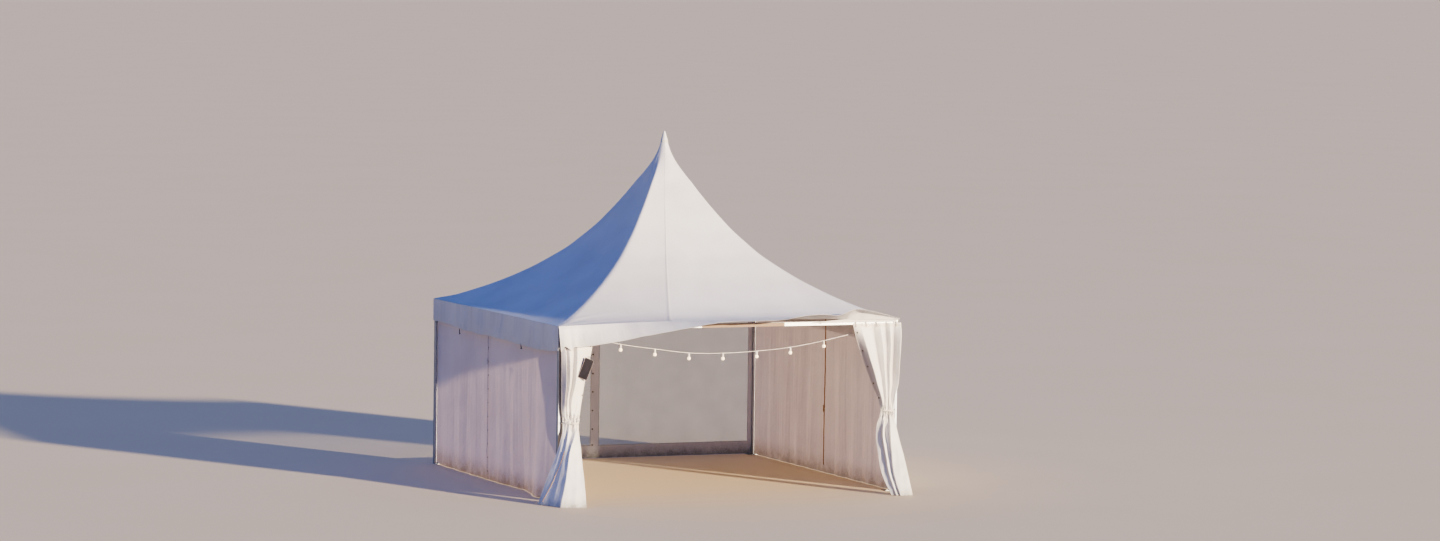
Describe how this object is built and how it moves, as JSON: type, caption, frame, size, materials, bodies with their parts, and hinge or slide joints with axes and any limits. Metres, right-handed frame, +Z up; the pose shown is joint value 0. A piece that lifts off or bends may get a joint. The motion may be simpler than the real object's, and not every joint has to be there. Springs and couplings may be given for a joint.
{
  "type": "marquee tent",
  "caption": "Square peaked marquee with a white tensioned roof, plain side walls, clear rear windows and an open front with tied-back curtains under a line of hanging lamps.",
  "frame": {"origin": "on the ground, under the middle of the whole shape's bounding box", "axes": "+X to the right along the open front as seen from outside, +Y from the open front to the rear wall, +Z up"},
  "size_m": [5.412, 5.7598, 4.85],
  "materials": {
    "roof_pvc": "satin coated fabric, white",
    "wall_pvc": "satin coated fabric, off-white",
    "curtain_pvc": "satin coated fabric, white, with woven edge rope",
    "window_pvc": "clear glossy film",
    "aluminium": "anodised, satin",
    "galvanised_steel": "galvanised, dull",
    "wire_rope": "stranded, dull",
    "webbing": "woven band, matte",
    "festoon_cable": "white sheathed cable and holders",
    "warm_glass": "warm opal globe on a white holder",
    "slate_board": "dark painted board, matte"
  },
  "bodies": {
    "root": {"bracket_front_left": "galvanised_steel", "bracket_front_right": "galvanised_steel", "bracket_rear_left": "galvanised_steel", "bracket_rear_right": "galvanised_steel", "bulb_1": "warm_glass", "bulb_2": "warm_glass", "bulb_3": "warm_glass", "bulb_4": "warm_glass", "bulb_5": "warm_glass", "bulb_6": "warm_glass", "bulb_7": "warm_glass", "bulb_8": "warm_glass", "curtain_left": "curtain_pvc", "curtain_right": "curtain_pvc", "eave_beam_front": "aluminium", "eave_beam_left": "aluminium", "eave_beam_rear": "aluminium", "eave_beam_right": "aluminium", "festoon_cord": "festoon_cable", "festoon_hook_left": "galvanised_steel", "festoon_hook_right": "galvanised_steel", "king_pole": "aluminium", "leg_front_left": "aluminium", "leg_front_right": "aluminium", "leg_rear_left": "aluminium", "leg_rear_right": "aluminium", "number_plaque": "slate_board", "peak_cap": "roof_pvc", "roof_canopy": "roof_pvc", "stay_cable_front_left": "wire_rope", "stay_cable_front_right": "wire_rope", "stay_cable_rear_left": "wire_rope", "stay_cable_rear_right": "wire_rope", "tie_left": "webbing", "tie_right": "webbing", "valance_front": "roof_pvc", "valance_left": "roof_pvc", "valance_rear": "roof_pvc", "valance_right": "roof_pvc", "wall_left_front": "wall_pvc", "wall_left_rear": "wall_pvc", "wall_rear_left_border": "wall_pvc", "wall_rear_left_window": "window_pvc", "wall_rear_right_border": "wall_pvc", "wall_rear_right_window": "window_pvc", "wall_right_front": "wall_pvc", "wall_right_rear": "wall_pvc"}
  },
  "joints": []
}
